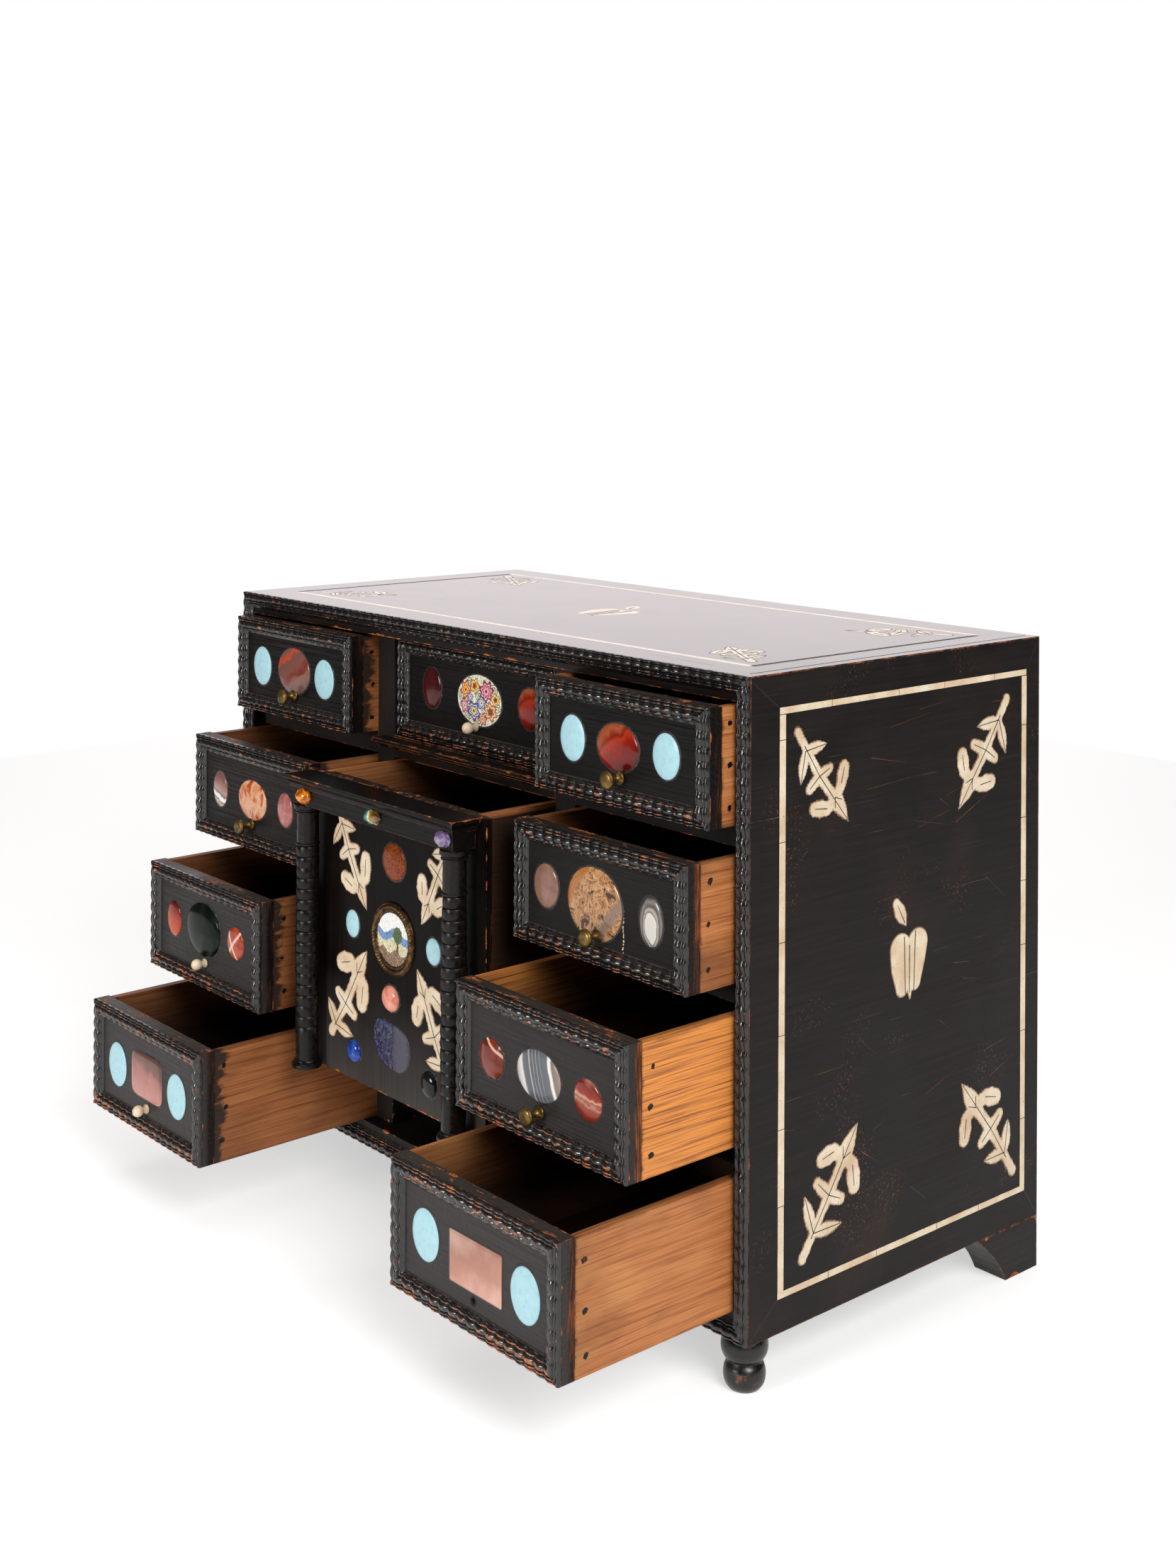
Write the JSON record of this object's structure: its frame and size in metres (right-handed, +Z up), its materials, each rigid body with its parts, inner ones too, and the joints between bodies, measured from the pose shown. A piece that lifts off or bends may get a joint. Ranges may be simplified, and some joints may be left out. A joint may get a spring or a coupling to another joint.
{
  "type": "coin cabinet",
  "caption": "Ebonised wooden table cabinet with rippled mouldings, drawers set with hardstones, a tall columned centre drawer, and turned and bracket feet.",
  "frame": {"origin": "on the floor, under the middle of the cabinet's box with its drawers drawn as shown", "axes": "+X to the right seen from the front, -Y out of the drawers' fronts, +Z up"},
  "size_m": [0.5994, 0.45, 0.4515],
  "materials": {
    "ebonised_wood": "black stain, waxed and worn",
    "pine": "bare aged softwood",
    "brass": "dull, darkened",
    "bone": "polished bone",
    "hardstone": "polished stones"
  },
  "bodies": {
    "case": {"back_left_foot": "ebonised_wood", "back_right_foot": "ebonised_wood", "case_back": "ebonised_wood", "case_bottom": "ebonised_wood", "case_left_side": "ebonised_wood", "case_right_side": "ebonised_wood", "case_top": "ebonised_wood", "centre_shelf": "ebonised_wood", "front_left_foot": "ebonised_wood", "front_moulding": "ebonised_wood", "front_right_foot": "ebonised_wood", "left_divider": "ebonised_wood", "left_shelf_1": "ebonised_wood", "left_shelf_2": "ebonised_wood", "left_shelf_3": "ebonised_wood", "right_divider": "ebonised_wood", "right_shelf_1": "ebonised_wood", "right_shelf_2": "ebonised_wood", "right_shelf_3": "ebonised_wood", "tabernacle_shelf": "ebonised_wood"},
    "left_drawer_1": {"left_drawer_1_box": "pine", "left_drawer_1_frame": "ebonised_wood", "left_drawer_1_front": "ebonised_wood", "left_drawer_1_knob": "brass"},
    "left_drawer_2": {"left_drawer_2_box": "pine", "left_drawer_2_frame": "ebonised_wood", "left_drawer_2_front": "ebonised_wood", "left_drawer_2_knob": "brass"},
    "left_drawer_3": {"left_drawer_3_box": "pine", "left_drawer_3_frame": "ebonised_wood", "left_drawer_3_front": "ebonised_wood", "left_drawer_3_knob": "bone"},
    "left_drawer_4": {"left_drawer_4_box": "pine", "left_drawer_4_frame": "ebonised_wood", "left_drawer_4_front": "ebonised_wood", "left_drawer_4_knob": "bone"},
    "centre_drawer": {"centre_drawer_box": "pine", "centre_drawer_frame": "ebonised_wood", "centre_drawer_front": "ebonised_wood", "centre_drawer_knob": "bone"},
    "tabernacle": {"tabernacle_box": "pine", "tabernacle_cornice": "ebonised_wood", "tabernacle_front": "ebonised_wood", "tabernacle_left_column": "ebonised_wood", "tabernacle_right_column": "ebonised_wood"},
    "right_drawer_1": {"right_drawer_1_box": "pine", "right_drawer_1_frame": "ebonised_wood", "right_drawer_1_front": "ebonised_wood", "right_drawer_1_knob": "brass"},
    "right_drawer_2": {"right_drawer_2_box": "pine", "right_drawer_2_frame": "ebonised_wood", "right_drawer_2_front": "ebonised_wood", "right_drawer_2_knob": "brass"},
    "right_drawer_3": {"right_drawer_3_box": "pine", "right_drawer_3_frame": "ebonised_wood", "right_drawer_3_front": "ebonised_wood", "right_drawer_3_knob": "brass"},
    "right_drawer_4": {"right_drawer_4_box": "pine", "right_drawer_4_frame": "ebonised_wood", "right_drawer_4_front": "ebonised_wood"}
  },
  "joints": [
    {"name": "left_drawer_1_slide", "type": "slide", "parent": "case", "child": "left_drawer_1", "axis": [0, -1, 0], "range_m": [-0.0294, 0.1806]},
    {"name": "left_drawer_2_slide", "type": "slide", "parent": "case", "child": "left_drawer_2", "axis": [0, -1, 0], "range_m": [-0.0688, 0.1412]},
    {"name": "left_drawer_3_slide", "type": "slide", "parent": "case", "child": "left_drawer_3", "axis": [0, -1, 0], "range_m": [-0.1096, 0.1004]},
    {"name": "left_drawer_4_slide", "type": "slide", "parent": "case", "child": "left_drawer_4", "axis": [0, -1, 0], "range_m": [-0.1595, 0.0505]},
    {"name": "centre_drawer_slide", "type": "slide", "parent": "case", "child": "centre_drawer", "axis": [0, -1, 0], "range_m": [0, 0.21]},
    {"name": "tabernacle_slide", "type": "slide", "parent": "case", "child": "tabernacle", "axis": [0, -1, 0], "range_m": [-0.066, 0.144]},
    {"name": "right_drawer_1_slide", "type": "slide", "parent": "case", "child": "right_drawer_1", "axis": [0, -1, 0], "range_m": [-0.0388, 0.1712]},
    {"name": "right_drawer_2_slide", "type": "slide", "parent": "case", "child": "right_drawer_2", "axis": [0, -1, 0], "range_m": [-0.0567, 0.1533]},
    {"name": "right_drawer_3_slide", "type": "slide", "parent": "case", "child": "right_drawer_3", "axis": [0, -1, 0], "range_m": [-0.1047, 0.1053]},
    {"name": "right_drawer_4_slide", "type": "slide", "parent": "case", "child": "right_drawer_4", "axis": [0, -1, 0], "range_m": [-0.1565, 0.0535]}
  ]
}
